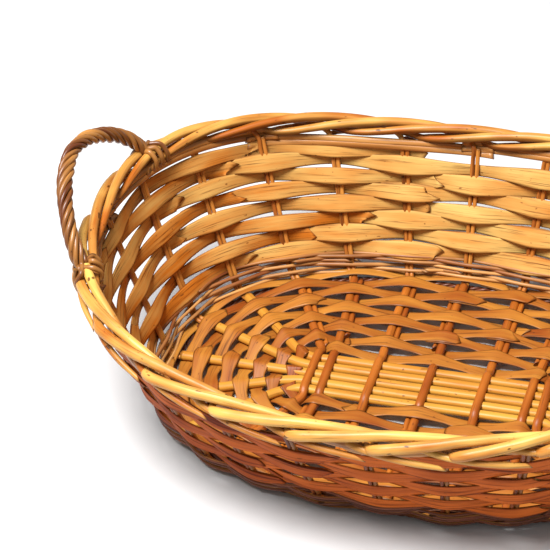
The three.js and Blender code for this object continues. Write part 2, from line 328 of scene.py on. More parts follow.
class Finish:
    """A material that is being written. node() is the one way in which it gets a node."""

    def __init__(self, name, **surface):
        self.material = bpy.data.materials.new(name)
        self.material.use_nodes = True
        self.tree = self.material.node_tree
        self.tree.nodes.clear()
        self.shader = self.node("ShaderNodeBsdfPrincipled", inputs=surface)
        self.node("ShaderNodeOutputMaterial", inputs={"Surface": self.shader.outputs[0]})

    def node(self, kind, settings=None, inputs=None):
        """A node of that type: its settings are put in first, then the values or links of its sockets."""
        made = self.tree.nodes.new(kind)
        for key, value in (settings or {}).items():
            setattr(made, key, value)
        self.feed(made, inputs or {})
        return made

    def feed(self, made, inputs):
        for key, value in inputs.items():
            value = value.socket if isinstance(value, Amount) else value
            if isinstance(value, bpy.types.NodeSocket):
                self.tree.links.new(value, made.inputs[key])
            else:
                made.inputs[key].default_value = value

    def attribute(self, title):
        return self.node("ShaderNodeAttribute", dict(attribute_name=title)).outputs["Vector"]

    def parts(self, vector):
        node = self.node("ShaderNodeSeparateXYZ", inputs={0: vector})
        return [Amount(self, o) for o in node.outputs]

    def stretch(self, vector, scale):
        node = self.node("ShaderNodeVectorMath", dict(operation="MULTIPLY"), {0: vector, 1: scale})
        return node.outputs[0]

    def noise(self, vector, scale=1.0, detail=2.0, rough=0.5):
        """Noise from 0 to 1, which lies between 0.3 and 0.7 nearly everywhere."""
        inputs = {"Vector": vector, "Scale": scale, "Detail": detail, "Roughness": rough}
        return Amount(self, self.node("ShaderNodeTexNoise", inputs=inputs).outputs["Fac"])

    def mix(self, amount, first, second):
        """The first colour where the amount is 0, the second where it is 1."""
        settings = dict(data_type="RGBA", clamp_factor=True)
        node = self.node("ShaderNodeMix", settings, {0: amount, 6: first, 7: second})
        return node.outputs[2]

    def multiply(self, amount, colour, tint):
        """The colour, multiplied by the tint where the amount is 1."""
        settings = dict(data_type="RGBA", blend_type="MULTIPLY", clamp_factor=True)
        return self.node("ShaderNodeMix", settings, {0: amount, 6: colour, 7: tint}).outputs[2]


print("a finish is written with", len([m for m in dir(Finish) if not m.startswith("_")]), "tools")

# %% [markdown]
# ## The willow finishes
# Peeled willow is pale and turns from cream to orange as it ages. It shines a little, because the
# inner bark polishes, and its fibres run along the rod. A split strip shows fine fibre on its inner side
# and keeps a smoother, redder skin on the other, so its finish blends two colours by the side of the split.
# Small dark buds are left on a peeled rod and dirt gathers at cut ends, and shade is painted along the
# edges of strips and on the shaded sides of rods. The same recipe serves every kind of rod, with other
# colours. It is made of noises that are long along the rod and short across it, which an image could not
# give without a seam.

# %% Willow recipe
# Waves in a metre: along the rod, through it and across it.
FIBRE, STREAK, BAND = (26, 900, 900), (14, 260, 260), (22, 60, 60)
FLECK, BUD = (210, 420, 420), (130, 260, 260)


def colour(red, green, blue):
    """A colour given as it looks on a screen, made linear as the shader wants it."""
    linear = [c / 12.92 if c < 0.0404 else ((c + 0.055) / 1.055) ** 2.4 for c in (red, green, blue)]
    return (*linear, 1.0)


def willow(name, pale, deep, dark, skin=None, rough=0.42, fibre=0.25, blotch=0.5, coat=0.25,
           skin_from=(-0.2, 0.5), knots=0.0, shine=0.35, edge_from=0.78):
    """Willow of three colours. Pale is mixed with deep by the rod's shade, slow bands and streaks. With
    skin, two more colours are mixed in the same way, streaked with dark, and laid over the skin side
    between the two values of skin_from. Then dark is laid in along the fibres, at small flecks, at buds by
    the amount knots, at the cut ends, and as painted shade where the edge attribute passes edge_from."""
    f = Finish(name, **{"Coat Weight": coat, "Coat Roughness": 0.28, "Specular IOR Level": shine})
    grain = f.attribute("grain")
    tone, end, side = f.parts(f.attribute("look"))
    edge = f.parts(f.attribute("edge"))[0]
    fibres = f.noise(f.stretch(grain, FIBRE), detail=3, rough=0.65)
    streaks = f.noise(f.stretch(grain, STREAK))
    bands = f.noise(f.stretch(grain, BAND))
    shade = tone * 0.55 + (bands - 0.5) * (2.2 * blotch) + (streaks - 0.5) * 0.9 + 0.22
    wood = f.mix(shade.clamped(), pale, deep)
    if skin:
        outer = f.mix((shade * 0.9).clamped(), *skin)
        outer = f.multiply(streaks.step(0.50, 0.68) * 0.6, outer, dark)
        wood = f.mix(side.step(*skin_from), wood, outer)
    wood = f.multiply(fibres.step(0.52, 0.75) * (fibre * 2.2), wood, dark)
    flecks = f.noise(f.stretch(grain, FLECK), detail=1)
    wood = f.mix(flecks.step(0.73, 0.80) * 0.75, wood, dark)
    if knots:
        buds = f.noise(f.stretch(grain, BUD), detail=1)
        wood = f.multiply(buds.step(0.70, 0.77) * knots, wood, dark)
    wood = f.multiply(end.step(2.2 * MM, 0.0) * 0.6, wood, dark)
    # Painted shade: the edge attribute darkens strip edges and the shaded sides of border rods, broken up by
    # streaks.
    painted_shade = (edge + (streaks - 0.5) * 0.4).step(edge_from, edge_from + 0.25)
    wood = f.multiply(painted_shade * 0.6, wood, dark)
    height = fibres * 0.6 + streaks * 0.4
    bump = f.node("ShaderNodeBump", inputs={"Strength": 0.55, "Distance": 0.5 * MM, "Height": height})
    f.feed(f.shader, {
        "Base Color": wood,
        "Roughness": (fibres * 0.3 + bands * 0.15 + (rough - 0.22)).clamped(),
        "Normal": bump.outputs[0],
    })
    return f.material


PEELED = willow(
    "peeled_willow", colour(0.78, 0.57, 0.22), colour(0.68, 0.41, 0.11), colour(0.38, 0.17, 0.04),
    coat=0.05, knots=0.4, shine=0.2,
)
STICK = willow(
    "cross_stick_willow", colour(0.70, 0.40, 0.12), colour(0.54, 0.25, 0.05), colour(0.25, 0.09, 0.02),
    blotch=0.8, coat=0.08, knots=0.5,
)
BASE_STRIP = willow(
    "base_strip_willow", colour(0.70, 0.46, 0.17), colour(0.53, 0.25, 0.05), colour(0.22, 0.08, 0.02),
    rough=0.5, fibre=0.35, blotch=0.7, coat=0.06, shine=0.25,
)
WALL_STRIP = willow(
    "wall_strip_willow", colour(0.83, 0.68, 0.39), colour(0.74, 0.42, 0.12), colour(0.41, 0.22, 0.09),
    skin=(colour(0.80, 0.40, 0.15), colour(0.53, 0.21, 0.08)),
    rough=0.6, fibre=0.4, blotch=0.7, coat=0.0, shine=0.1,
)
WALE = willow(
    "wale_willow", colour(0.84, 0.62, 0.36), colour(0.48, 0.24, 0.11), colour(0.22, 0.09, 0.04),
    skin=(colour(0.50, 0.26, 0.14), colour(0.30, 0.13, 0.07)), skin_from=(-0.1, 0.4), coat=0.1, shine=0.25,
)
FOOT = willow(
    "foot_willow", colour(0.48, 0.25, 0.14), colour(0.32, 0.15, 0.08), colour(0.16, 0.06, 0.03), shine=0.2,
)
SPLIT = willow(
    "split_willow", colour(0.75, 0.54, 0.29), colour(0.65, 0.39, 0.15), colour(0.33, 0.14, 0.05),
)
BORDER = willow(
    "border_willow", colour(0.88, 0.69, 0.35), colour(0.64, 0.34, 0.08), colour(0.28, 0.11, 0.03),
    skin=(colour(0.80, 0.53, 0.23), colour(0.62, 0.34, 0.12)), skin_from=(0.2, 0.8),
    blotch=0.9, coat=0.12, knots=0.8, shine=0.25, edge_from=0.5,
)
UPRIGHT = willow(
    "upright_willow", colour(0.82, 0.55, 0.24), colour(0.66, 0.37, 0.13), colour(0.30, 0.12, 0.03),
    skin=(colour(0.58, 0.29, 0.12), colour(0.40, 0.17, 0.07)), coat=0.1, shine=0.25,
)
HANDLE = willow(
    "handle_willow", colour(0.74, 0.51, 0.25), colour(0.36, 0.17, 0.05), colour(0.15, 0.05, 0.02),
    rough=0.38, blotch=1.1, coat=0.3, knots=0.8,
)
print("finishes:", [m.name for m in bpy.data.materials if "willow" in m.name])

# %% [markdown]
# ## Ribs of the base
# The base is laid out from twenty-four ribs, one to each pair of stakes. Those at the two ends are the long
# rods, fanned out, and those at the sides are the ends of the cross sticks. Everything woven on the base
# goes by these ribs.

# %% Rib layout
def ribs():
    """Where each rib leaves the middle of the base and where it ends on the edge oval. A rib at most two
    away from an end of the basket is a long rod's end; the others are ends of cross sticks."""
    k = np.arange(STAKES)
    to = np.concatenate([edge_at(k / STAKES), np.full((STAKES, 1), BASE_Z)], -1)
    fold = np.minimum(k, STAKES - k)
    near = np.minimum(fold, STAKES // 2 - fold)
    sx = np.where(np.abs(to[:, 0]) < 1e-6, 1, np.sign(to[:, 0]))
    sy = np.where(k <= STAKES / 2, 1, -1)
    is_long = near <= 2
    cross = CROSS_X[np.clip(STAKES // 4 - near, 0, 3)]
    x = np.where(is_long, FAN_START, cross) * sx
    y = np.where(is_long, near * LONG_PITCH, RIB_START) * sy
    return np.stack([x, y, np.full(STAKES, BASE_Z)], -1), to


RIB_FROM, RIB_TO = ribs()


def ring(points):
    """A closed smooth curve through one point for each rib, as a function of the rib number, with the slope
    at a rib taken from the two beside it (Catmull-Rom)."""
    def at(s):
        k = np.floor(s).astype(int)
        f = (s - k)[..., None]
        a, b, c, d = (points[(k + o) % len(points)] for o in (-1, 0, 1, 2))
        square, cube = 2 * a - 5 * b + 4 * c - d, 3 * b - a - 3 * c + d
        return 0.5 * (2 * b + (c - a) * f + square * f**2 + cube * f**3)
    return at


rib_length = np.linalg.norm(RIB_TO - RIB_FROM, axis=1)
print(STAKES, "ribs, the longest in mm:", round(rib_length.max() / MM))

# %% [markdown]
# ## The long rods
# Five peeled rods lie side by side and show as a pale band in the middle of the base. The sticks press them
# a little flat. Real rods are never quite straight nor of one thickness, so each path wanders by a fraction
# of a millimetre and each rod thins towards one end.

# %% Long rods
def wander(count, size, waves=3):
    """A slow random drift in three directions: a sum of sines with random phases."""
    t = np.linspace(0, 1, count)[:, None, None]
    phase = rng.uniform(0, 2 * np.pi, (1, 3, waves))
    rate = rng.uniform(0.5, 3.0, (1, 3, waves)) * 2 * np.pi
    return size * np.sin(t * rate + phase).sum(-1) / waves


def long_rod(m, count=240, flat=1.22):
    """Rod m, from -2 to 2 across the band: out along one rib, straight across the middle, along the rib
    at the other end. It is flat times wider than it is thick."""
    left, right = (STAKES // 2 - m) % STAKES, m % STAKES
    out = np.array([1.0, 0.66, 0.33, 0.1])[:, None]
    fan = [RIB_FROM[k] + (RIB_TO[k] - RIB_FROM[k]) * out for k in (left, right)]
    near = RIB_FROM[right]
    across = np.linspace(-0.95, 0.95, 9)[:, None] * near * [1, 0, 0] + near * [0, 1, 1]
    path = smooth(np.concatenate([fan[0], across, fan[1][::-1]]), count) + wander(count, 0.3 * MM)
    width = 1.08 * BASE_ROD * np.linspace(1.03, 0.95, count) * (1 + 0.02 * wander(count, 1.0)[:, 0])
    return rod(path, Z, width, wide=width * flat, sides=14, tone=0.1 + 0.12 * (m + 2))


for m in range(-2, 3):
    piece(f"base_rod_{m + 3}", [long_rod(m)], PEELED, "peeled_rod", f"long_rod_{m + 3}")

# %% [markdown]
# ## The slit cross sticks
# Each thick stick is split in its middle and the five rods are pushed through the slit, so one half of the
# stick goes over them and the other half under. Two half-round strands that part company over the band and
# close again beyond it say exactly that. Past the slit each stick follows its two ribs to the edge. Beside
# most sticks lies a thinner rod that was pushed in later to stiffen the base.

# %% Cross sticks
def half_round(path, wide, thick, up, tone):
    """A rod of half-round section: the sine of the section's height is cut off at the flat side."""
    tangent = unit(np.gradient(path, axis=0))
    v = unit(np.cross(Z, tangent))
    c, s = section(16)
    x = wide / 2 * c
    y = up * thick * np.maximum(s, -0.04)
    grid = path[:, None] + v[:, None] * x[None, :, None] + Z * y[None, :, None]
    return strand(grid, y[None], x[None], skin=up, tone=tone)


STICK_WIDE = 1.12 * BASE_ROD
HALF_OVER, HALF_UNDER = 3.1 * MM, 2.9 * MM


def soft_step(distance, over):
    """1 well below 0, 0 well above it, turning smoothly over that much on each side (a logistic curve)."""
    return 1 / (1 + np.exp(distance / over))


def cross_stick(i, count=200):
    """Stick i, from left to right: its path, the half over the band, the half under it and the thin rods
    beside it. The halves part where the path is within the band."""
    x = np.concatenate([-CROSS_X[:0:-1], CROSS_X])[i]
    k = STAKES // 4 + 3 - i
    middle = np.array([[x, RIB_START * part, BASE_Z] for part in (-1, -0.55, 0, 0.55, 1)])
    low, high = (
        [RIB_TO[end] * part + start * (1 - part) for part in (1, 0.5, 0.12)]
        for end, start in ((-k % STAKES, middle[0]), (k, middle[-1]))
    )
    path = smooth(np.concatenate([low, middle, high[::-1]]), count)
    path += wander(count, 0.4 * MM) * np.array([1, 1, 0.3])
    parted = soft_step(np.abs(path[:, 1]) - BAND_SIDE - 1.5 * MM, 1.3 * MM)
    lift = (BASE_ROD / 2 + 0.25 * MM) * parted[:, None] * Z
    tone = rng.uniform(0, 1)
    strands = [
        half_round(path + lift, STICK_WIDE, HALF_OVER, 1, tone),
        half_round(path - lift, STICK_WIDE, HALF_UNDER, -1, tone),
    ]
    for sign in (-1, 1):
        if rng.uniform() < 0.85:
            gap = np.where(rng.uniform() < 0.5, -1, 1) * rng.uniform(4.7, 5.3) * MM
            reaches = np.abs(path[:, 1]) > rng.uniform(29, 47) * MM
            beside = path[reaches & (path[:, 1] * sign > 0)][::2] + np.array([gap, 0, -0.4 * MM])
            strands.append(rod(beside, Z, rng.uniform(3.4, 4.2) * MM, sides=10, cuts=(1.5 * MM, 1.5 * MM)))
    return strands


for i in range(7):
    piece(f"slit_stick_{i + 1}", cross_stick(i), STICK, "cross_stick", f"cross_stick_{i + 1}")

# %% [markdown]
# ## Strips that weave
# A weaver is a split strip that passes one stake inside and the next outside. It is widest where it lies
# over a stake and narrow where it dives between its neighbours, so from the front each stretch looks like a
# long leaf. A row isn't one strip: it is several, and each begins on top of the end of the last, with a
# slanting cut. The same function serves the wall, the base and the round weavers, because only the surface
# that they are woven on differs.

# %% The weaving function
def tooth(s, sharp):
    """A wave that is 1 at even whole numbers and -1 at odd ones, straighter between them than a cosine: the
    arcsine of a cosine, scaled back to 1. The nearer sharp is to 1, the sharper are its crowns."""
    return np.arcsin(sharp * np.cos(np.pi * s)) / np.arcsin(sharp)


PER_STEP = 14  # stations between two stakes
END_LIFT, END_TIP = 0.10, 0.03  # steps over which an end is lifted or cut, and is pointed


def woven(frame_at, start, stop, phase, reach, thick, widths, *, sides=12, flatness=0.4, cuts=(0.05, 0.05),
          lap=0.0, lean=0.2, drift=0.0, loose=(0.0, 0.0), tone=None, point=0.5, sharp=0.9, cup=0.0,
          wave=None, one_sided=False):
    """A strip woven on a surface, on a grid of the step number s and the angle round the section.

    frame_at(s) gives the surface's point, normal and crosswise direction. The strip's height over the
    surface is reach·tooth(s + phase), or reach·wave(s + phase). Its width goes from widths[0] between
    stakes to widths[1] over them, by a power of the weave; one_sided makes it narrow outside a stake and
    wide inside it, and point narrows its two ends. cuts slide the ends along by the crosswise place, lap
    tilts the strip from -lap to lap along its length, lean turns its lower edge away from the surface, cup
    lifts both edges, drift moves one end up and the other down, and loose lifts the two ends."""
    s = np.linspace(start, stop, max(8, int((stop - start) * PER_STEP)))[:, None]
    c, y = section(sides, flatness)
    head, tail = np.exp((start - s) / END_LIFT), np.exp((s - stop) / END_LIFT)
    place = s + y * (cuts[0] * head + cuts[1] * tail)
    weave = tooth(place + phase, sharp) if wave is None else wave(place + phase)
    over = (0.5 - 0.5 * np.clip(weave, -1, 1)) ** 1.3 if one_sided else np.abs(weave) ** 1.4
    width = widths[0] + (widths[1] - widths[0]) * over
    width = width * (1 - point * (np.exp((start - s) / END_TIP) + np.exp((s - stop) / END_TIP)))
    across = width / 2 * y
    bow = drift * (s - (start + stop) / 2) / (stop - start)
    height = reach * weave + thick / 2 * c + lap * ((s - start) / (stop - start) * 2 - 1)
    height = height - across * lean * weave + cup * y**2 * weave + loose[0] * head + loose[1] * tail
    p, normal, cross = frame_at(place)
    grid = p + normal * height[..., None] + cross * (across + bow)[..., None]
    # edge sets painted shade along a flat strip's two edges.
    edge = np.abs(y) if flatness < 1 else 0.0
    return strand(grid, thick / 2 * c, across, skin=c, tone=tone, edge=edge)


def lengths(shortest, longest, offset):
    """Where the strips of a row begin and end, in steps: random lengths that fill the row once round."""
    cuts = [0.0]
    while cuts[-1] < STAKES - longest:
        cuts.append(cuts[-1] + rng.integers(shortest, longest))
    return np.array(cuts + [STAKES]) + offset


# %% [markdown]
# ## Strips of the base
# The base strips run round the ribs in eight rows, the first of them beaten a little closer to the middle.
# They are split thin and lie nearly flat, with a sharp crown over each stick and dark openings beside it.

# %% Base strips
BASE_REACH, BASE_THIN = 3.6 * MM, 0.9 * MM
BEATEN, BEATEN_ROWS = 0.045, 4  # the first row's move inwards, a share of the rib; fading over the rows


def base_frame(row):
    """The base along one row, in steps: step 1 is one rib further. The row runs through every rib at the
    same share of its length."""
    share = (row + 0.5) / BASE_ROWS - BEATEN * max(0.0, 1 - row / BEATEN_ROWS) ** 2
    centre = ring(RIB_FROM + (RIB_TO - RIB_FROM) * share)
    outward = ring(unit(RIB_TO - RIB_FROM))
    return lambda s: (centre(s), np.broadcast_to(Z, s.shape + (3,)), unit(outward(s)))


def edge_strips():
    """One more row beyond the ribs' ends, narrow, round the stakes where they leave the base."""
    at, widths = base_frame(BASE_ROWS + 0.05), (8.0 * MM, 9.5 * MM)
    marks = lengths(4, 8, 0.5)
    return [
        woven(at, a - 0.3, b + 0.3, BASE_ROWS, 2.6 * MM, BASE_THIN, widths, lap=-0.5 * MM, lean=0.05)
        for a, b in zip(marks[:-1], marks[1:])
    ]


for row in range(BASE_ROWS):
    at, strips = base_frame(row), []
    marks = lengths(4, 8, rng.integers(0, STAKES))
    for a, b in zip(marks[:-1], marks[1:]):
        strips.append(woven(
            at, a - rng.uniform(0.25, 0.45), b + rng.uniform(0.25, 0.45), row, BASE_REACH, BASE_THIN,
            (8.4 * MM, rng.uniform(12.4, 14.2) * MM), lap=-0.5 * MM, lean=rng.uniform(-0.1, 0.12),
            cuts=tuple(rng.uniform(-0.12, 0.12, 2)), drift=rng.uniform(-1.2, 1.2) * MM, sharp=0.975,
            loose=(rng.uniform(0, 0.8) * MM, 0), cup=0.25 * MM,
        ))
    if row == BASE_ROWS - 1:
        strips += edge_strips()
    piece(f"base_strips_{row + 1}", strips, BASE_STRIP, "base_strip", f"base_weaver_{row + 1}")

# %% [markdown]
# ## The foot
# The basket stands on a small rope of three rods round the edge of the base, under the stakes. Above it the
# wall starts with thin round rods instead of strips, which hold the stakes upright. Their ends are left a
# little long on the inside and stick up.

# %% Foot rope and thin rods
FOOT_ROD, FOOT_OFFSET, FOOT_Z, FOOT_TURNS = 2.25 * MM, 1.15 * MM, 2.35 * MM, 48


def foot_rope(count=900):
    """Three strands round the foot: each is the ring's centre line with a small turning offset."""
    t = np.linspace(0, 1, count)
    centre = np.concatenate([ring_at(t), np.full((count, 1), FOOT_Z)], -1)
    tangent = unit(np.concatenate([ring_at(t + 0.002) - ring_at(t - 0.002), np.zeros((count, 1))], -1))
    out = np.cross(tangent, Z)
    strands = []
    for i in range(3):
        turn = 2 * np.pi * (FOOT_TURNS * t + i / 3)[:, None]
        side = out * np.cos(turn) + Z * np.sin(turn)
        strands.append(rod(centre + side * FOOT_OFFSET, side, FOOT_ROD, sides=8))
    return strands


piece("foot_rope", foot_rope(), FOOT, "wale_rod", "foot_ring")


def wall_row_frame(v, wobble=0.0):
    """The wall along one row, in steps: step 1 is one stake further. The row may wander up and down."""
    phases = rng.uniform(0, 2 * np.pi, 3)
    def at(s):
        ripple = sum(np.sin(s * r * 2 * np.pi / STAKES + p) for r, p in zip((3, 5, 8), phases))
        p, _, out, up = wall_frame(s / STAKES, v + wobble * ripple)
        return p, out, up
    return at


THIN_ROWS = ((0.008, 1), (0.034, 0), (0.058, 1), (0.080, 0), (0.100, 1), (0.122, 0))  # height, phase
THIN_REACH = 3.2 * MM
for i in range(2):
    strands = []
    for v, phase in THIN_ROWS[3 * i:3 * i + 3]:
        marks = lengths(4, 8, rng.uniform(0, STAKES))
        for a, b in zip(marks[:-1], marks[1:]):
            d = rng.uniform(2.3, 2.9) * MM
            strands.append(woven(
                wall_row_frame(v, 0.002), a - rng.uniform(0.3, 0.8), b + rng.uniform(0.3, 0.8), phase,
                THIN_REACH, d, (d, d), sides=9, flatness=1.0, drift=rng.uniform(1.0, 4.5) * MM, lean=0,
                loose=(-rng.uniform(0, 2) * MM, -rng.uniform(1, 4) * MM), point=0.2, sharp=0.8,
                lap=-0.8 * MM,
            ))
    piece(f"thin_rods_{i + 1}", strands, WALE, "wale_rod", f"foot_wale_{i + 1}")

# %% [markdown]
# ## Strips of the wall
# Seven rows of wider strips make the wall. The pale split side faces in and the redder skin faces out.
# Each strip is wide where it lies inside a stake and narrow where it lies outside one, so that broad pale
# leaves show within and slimmer red ones without. At the two ends the strips are more even, and their
# colour is deepened there as painted shade; along the front they leave less room between the rows. A few
# short strips are pushed in above the last row.

# %% Wall strips
WALL_REACH, WALL_THICK = 2.5 * MM, 1.0 * MM
SHORT_AT = 0.822
SHORT_RUNS = ((6.7, 9.4), (9.1, 12.7), (12.4, 15.4), (18.4, 20.7), (22.6, 25.4))  # from step to step


def near_end(a, b):
    """How near the middle of a strip is to an end of the basket: 1 at the ends, 0 at the sides, by the
    square of a cosine."""
    return math.cos(math.pi * (a + b) / STAKES) ** 2


def short_strips():
    """Short strips pushed in above the last row, where the split rods leave room."""
    strips = []
    for a, b in SHORT_RUNS:
        ends = near_end(a, b)
        strips.append(woven(
            wall_row_frame(SHORT_AT + 0.01 * ends, 0.002), a, b, WALL_ROWS, WALL_REACH, WALL_THICK,
            ((7.6 + 3.6 * ends) * MM, (rng.uniform(8.4, 9.6) + 3.6 * ends) * MM), lap=0.5 * MM,
            # Painted shade: the tone is deepened near the two ends of the basket.
            cuts=tuple(rng.uniform(-0.2, 0.2, 2)), tone=rng.uniform(0.1, 0.5) + 0.5 * ends,
        ))
    return strips


for row in range(WALL_ROWS):
    v = WALL_FIRST + (WALL_LAST - WALL_FIRST) * row / (WALL_ROWS - 1)
    at, strips = wall_row_frame(v, 0.003), []
    marks = lengths(3, 7, rng.integers(0, STAKES))
    for a, b in zip(marks[:-1], marks[1:]):
        ends = near_end(a, b)
        packed = 1.9 * max(0.0, -math.sin(math.pi * (a + b) / STAKES))  # only along the front
        strips.append(woven(
            at, a - rng.uniform(0.3, 0.55), b + rng.uniform(0.3, 0.55), row, WALL_REACH, WALL_THICK,
            ((9.0 + packed + 1.2 * ends) * MM, (rng.uniform(14.2, 15.6) - 2.6 * ends) * MM),
            lap=0.55 * MM, one_sided=True, cuts=tuple(rng.uniform(-0.16, 0.16, 2)),
            drift=rng.uniform(-1, 1) * MM, point=0.6, loose=(-rng.uniform(0, 1.2) * MM, 0), sharp=0.85,
            # Painted shade: strips near the two ends of the basket are made deeper in colour.
            tone=rng.uniform(0.0, 0.45) + 0.75 * ends**1.5,
        ))
    if row == WALL_ROWS - 1:
        strips += short_strips()
    piece(f"wall_strips_{row + 1}", strips, WALL_STRIP, "wall_strip", f"side_weaver_{row + 1}")

# %% [markdown]
# ## The top row of split rods
# Under the border runs a row of thicker rods that were split down the middle, with both halves laid in side
# by side. Each passes inside two stakes and outside the next, and its square cut ends are left showing
# inside. They lie by turns a little higher and lower, so that the end of one clears the next.

# %% Split rods
LOW_AND_HIGH, HALVES_APART = (0.045, 0.088), 0.018  # shares of the wall's height
SPLIT_REACH = SPLIT_THICK = 3.2 * MM


def two_in_one_out(s):
    """A wave with period three: a cosine shifted and scaled to be outside (1) at one stake and inside, at
    about -0.6, over the next two."""
    c = np.cos(2 * np.pi * s / 3)
    return 0.33 * (4 * c - 1) * np.where(c > 0.25, 1, 0.6)


def top_row():
    strands = []
    for n, a in enumerate(range(0, STAKES, 3)):
        v, drift = TOP_AT + LOW_AND_HIGH[n % 2], rng.uniform(-2.5, 1.0) * MM
        for half in (-1, 1):
            wide = rng.uniform(4.4, 5.0) * MM
            strands.append(woven(
                wall_row_frame(v + HALVES_APART * half), a - 0.25, a + 3.2, 0, SPLIT_REACH, SPLIT_THICK,
                (wide, wide), flatness=0.8, lean=0.3 * half, wave=two_in_one_out, point=0.03,
                cuts=(0.01, -0.01), drift=drift, loose=(-1.8 * MM, -1.6 * MM),
            ))
    return strands


piece("top_splits", top_row(), SPLIT, "split_rod", "top_wale")

# %% [markdown]
# ## Stakes and border
# A pair of rods stands at each rib. One of them ends under the border. The other bends out past the stakes
# to its right, lies along the top, slips down inside and comes out again below, where its tip is cut. Three
# such rods always overlap, which gives the rope-like edge. The path of a rod across the border is a list of
# places out from the rim's line and above it, one for each part of a spacing. The rod is thin where it
# stands in the wall, thickest just after the bend, and thins towards its tip. It is redder in the wall.
# Shade is painted on it: darker underneath along the border and on its outer face in the wall, and deeper
# in colour at the back and at the ends of the basket.

# %% Stakes that become the border
COIL = np.array([  # spacings past its own stake, out of the rim's line, above it (mm)
    (0.08, 1.6, -5.6), (0.13, 4.8, -4.8), (0.22, 6.6, -2.8), (0.42, 6.4, -0.5), (0.85, 4.4, 2.9),
    (1.25, 1.2, 4.6), (1.65, -1.6, 3.9), (2.00, -3.6, 2.0), (2.30, -4.4, -0.6), (2.56, -3.6, -3.2),
    (2.78, -0.9, -5.0), (3.00, 3.4, -5.4), (3.30, 6.4, -6.8), (3.70, 7.0, -9.8), (4.00, 6.2, -12.6),
])
UP_THE_WALL = np.array([0.03, 0.12, 0.3, 0.5, 0.7, 0.84, 0.92])
BORDER_RUN = (0.44, 0.56, 0.66, 0.76, 0.86, 0.95, 1.0)  # shares of the rod's length
BORDER_THICK = (7.4, 7.1, 6.4, 5.3, 4.7, 4.3, 3.0)  # mm, at those shares
BORDER_SHADE = (0.3, 0.0, 0.0, 0.3, 0.5, 0.2, 0.3)
STANDING = 3.2  # mm, thickness in the wall
PAIR_SIDE = 1.65 * MM  # from the middle of the pair to each rod


def stake_pair(k, count=260, held=40):
    """The two rods of stake k. Both come out of the base beside its rib and follow the wall. The first goes
    on through COIL. Its thickness, the side it faces and its skin change smoothly at the bend, whose place
    is found from the distance walked along the path's points. The stations held, in the base, don't wander."""
    _, along, out, _ = wall_frame(k / STAKES, 0.5)
    upright = wall(np.full(len(UP_THE_WALL), k / STAKES), UP_THE_WALL)
    inward = unit(RIB_FROM[k] - RIB_TO[k])
    foot = wall(np.array([k / STAKES]), np.array([0.0]))[0]
    start = np.array([RIB_TO[k] + inward * 4 * MM, RIB_TO[k] + (foot - RIB_TO[k]) * 0.6])
    beside = along * PAIR_SIDE
    steps, place_out, place_up = COIL.T * np.array([[1], [MM], [MM]])
    p, border_along, _, _ = wall_frame((k + steps) / STAKES, 1.0)
    level = unit(np.cross(border_along, Z) * FLAT)
    tip = rng.uniform(-1.5, 1.0) * MM
    coil = p + level * place_out[:, None] + Z * (place_up + np.linspace(0, tip, len(steps)))[:, None]
    points = np.concatenate([start + beside, upright + beside, coil])
    path = smooth(points, count)
    path[held:] += wander(count - held, 0.25 * MM)
    run, reached = np.linspace(0, 1, count), walked(points)
    bend, hidden = (reached[len(points) - len(coil) - back] / reached[-1] for back in (0, 1))
    stand = soft_step(run - bend, 0.007)
    thick = (STANDING * stand + (1 - stand) * np.interp(run, BORDER_RUN, BORDER_THICK)) * MM
    turning = soft_step(run[:, None] - hidden, 0.02)
    side = out * (0.6 + 0.4 * turning) + Z * (1 - turning)
    round_at = 2 * math.pi * k / STAKES
    # Painted shade: rods at the back and at the two ends of the basket are made deeper in colour.
    painted_shade_round = 0.6 * max(0.0, math.sin(round_at)) + 0.3 * math.cos(round_at) ** 2
    tone = rng.uniform(0, 0.45) + painted_shade_round + np.interp(run, BORDER_RUN, BORDER_SHADE)
    border = rod(path, side, thick, sides=12, cuts=(0, rng.uniform(2, 5) * MM), tone=tone[:, None])
    border[2][..., 2] = soft_step(run[:, None] - hidden, 0.005)
    # Painted shade: edge darkens a rod's outer face where it stands in the wall and its down-and-in side along
    # the border.
    border[3][..., 0] = 0.5 - 0.5 * section(12)[0] * (1 - 2 * stand[:, None])
    short = smooth(np.concatenate([start, upright]) - beside, 90)
    second = rod(short, out, rng.uniform(3.0, 3.5) * MM, sides=9)
    return border, second


for k in range(STAKES):
    border, second = stake_pair(k)
    piece(f"border_rod_{k + 1:02d}", [border], BORDER, "border_rod", f"stake_{k + 1:02d}")
    piece(f"second_rod_{k + 1:02d}", [second], UPRIGHT, "border_rod")

# %% [markdown]
# ## The twisted handles
# Each handle is a bow of six thin rods twisted together. Where it meets the border the twist opens and the
# rods loop round the border, three to the outside and three to the inside, and one end hangs down outside.
# A rod's path is the bow's line with an offset that turns as it goes, then a ring round the border. The bow
# is a half ellipse, drawn in a little at its shoulders, and it leans outwards.

# %% Handles
FOOT_Y, BOW_HIGH, BOW_LEAN, BOW_ARCH = 68 * MM, 56 * MM, 0.57, 1.7  # lean in radians, arch as a power
TWISTED, TWIST_LENGTH, TWIST_RADIUS, ROUND_BORDER = 6, 46 * MM, 3.7 * MM, 8.6 * MM
OUTSIDE, INSIDE = [52, 12, -35, -80, -125, -165], [120, 168, 215, 260, 300, 335]  # degrees round the border
FEET_APART, FEET_SLANT = 0.0026, 0.003  # shares of once round the rim
HANGING = np.array([(8.2, 9), (9.8, 2), (9.0, -6), (5.5, -15), (1.5, -25)]) * MM  # out of the rim, above it


def arched(c):
    """A cosine or sine raised to the power that gives the bow its arch, keeping its sign."""
    return np.sign(c) * np.abs(c) ** (2 / BOW_ARCH)


def border_at(turn):
    """Points of the rim's line and the level direction outwards at each."""
    p, along, _, _ = wall_frame(turn, 1.0)
    return p, unit(np.cross(along, Z) * FLAT)


